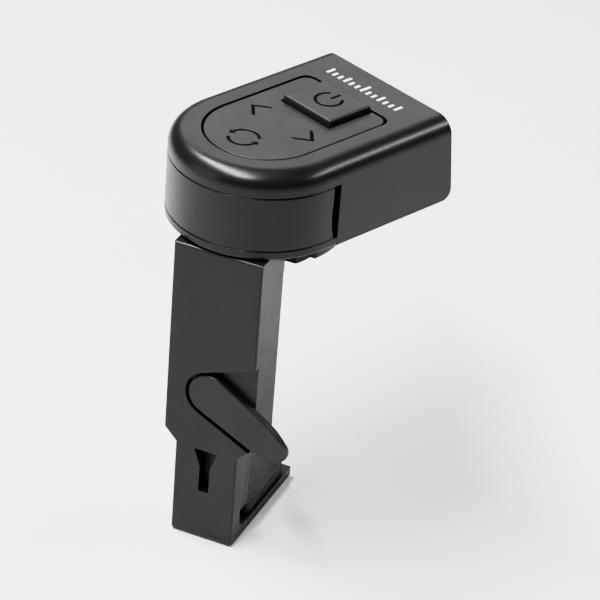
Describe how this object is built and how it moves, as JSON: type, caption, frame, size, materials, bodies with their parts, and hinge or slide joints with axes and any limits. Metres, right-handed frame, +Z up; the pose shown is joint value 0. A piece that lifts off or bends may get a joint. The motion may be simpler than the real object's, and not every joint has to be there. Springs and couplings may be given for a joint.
{
  "type": "clip-on tuner",
  "caption": "Clip-on instrument tuner: D-shaped head with keys, display and battery drawer, swivelling on a ratchet clamp with padded jaws and a release lever.",
  "frame": {"origin": "centre of the lower jaw pad's top face, on the head's swivel axis", "axes": "+Z up through both jaw pads and along the swivel axis, +Y from the clamp's front face in over the instrument, +X to the lever's tail side"},
  "size_m": [0.0319, 0.0375, 0.057],
  "materials": {
    "clamp_plastic": "fine spark-eroded black moulding",
    "lever_plastic": "smooth black moulding",
    "head_plastic": "satin black moulding",
    "key_plastic": "satin charcoal",
    "pad_rubber": "matt black rubber",
    "screw_steel": "zinc plated",
    "spring_steel": "bright spring steel",
    "cell_steel": "nickel plated",
    "contact_metal": "gold flashed bronze",
    "board": "green solder mask",
    "chip_black": "moulded epoxy",
    "piezo_brass": "rolled brass",
    "piezo_ceramic": "silvered ceramic",
    "lcd": "unlit liquid crystal glass",
    "window": "clear moulded lens",
    "bezel": "polished black"
  },
  "bodies": {
    "clamp": {"clamp_body": "clamp_plastic", "sleeve_cover": "clamp_plastic", "sleeve_screws": "screw_steel", "lower_jaw_pad": "pad_rubber", "lever_spring": "spring_steel"},
    "lever": {"release_lever": "lever_plastic", "pawl": "spring_steel", "pawl_screw": "screw_steel"},
    "slider": {"upper_jaw": "clamp_plastic", "upper_jaw_pad": "pad_rubber"},
    "drawer": {"battery_drawer": "head_plastic", "coin_cell": "cell_steel"},
    "keypad_post": {"keypad_pivot": "pad_rubber"},
    "keypad": {"keypad_plate": "key_plastic"},
    "power_key": {"power_button": "key_plastic"},
    "head": {"head_casing": "head_plastic", "head_base": "head_plastic", "base_screws": "screw_steel", "swivel_screw": "screw_steel", "swivel_washer": "screw_steel", "contact_top": "contact_metal", "contact_side": "contact_metal", "circuit_board": "board", "controller_chip": "chip_black", "switch_power": "chip_black", "switch_left": "chip_black", "switch_right": "chip_black", "switch_front": "chip_black", "piezo_disc": "piezo_brass", "piezo_ceramic": "piezo_ceramic", "piezo_leads": "piezo_ceramic", "lcd_panel": "lcd", "lcd_connector": "lcd", "display_window": "window", "display_bezel": "bezel"}
  },
  "joints": [
    {"name": "jaw_slide", "type": "slide", "parent": "clamp", "child": "slider", "axis": [0, 0, 1], "range_m": [0, 0.014]},
    {"name": "lever_swing", "type": "hinge", "parent": "clamp", "child": "lever", "pos_m": [0, -0.0117, 0.01965], "axis": [0, -1, 0], "range_deg": [0, 45], "stiffness_Nm_per_rad": 0.003, "springref_deg": -17.19},
    {"name": "head_swivel", "type": "hinge", "parent": "slider", "child": "head", "pos_m": [0, 0, 0.0412], "axis": [0, 0, 1], "continuous": true},
    {"name": "battery_slide", "type": "slide", "parent": "head", "child": "drawer", "axis": [-0.3939, -0.9191, 0], "range_m": [0, 0.022]},
    {"name": "power_press", "type": "slide", "parent": "head", "child": "power_key", "axis": [0, 0, -1], "range_m": [0, 0.0004], "stiffness_N_per_m": 1500, "springref_m": -0.0002},
    {"name": "keypad_tip_side", "type": "hinge", "parent": "head", "child": "keypad_post", "pos_m": [0, 0, 0.0487], "axis": [0.3939, 0.9191, 0], "range_deg": [-1.3, 1.3], "stiffness_Nm_per_rad": 0.1},
    {"name": "keypad_tip_front", "type": "hinge", "parent": "keypad_post", "child": "keypad", "pos_m": [0.00122, 0.00285, 0.0516], "axis": [0.9191, -0.3939, 0], "range_deg": [0, 1.2], "stiffness_Nm_per_rad": 0.1, "springref_deg": -1.15}
  ]
}
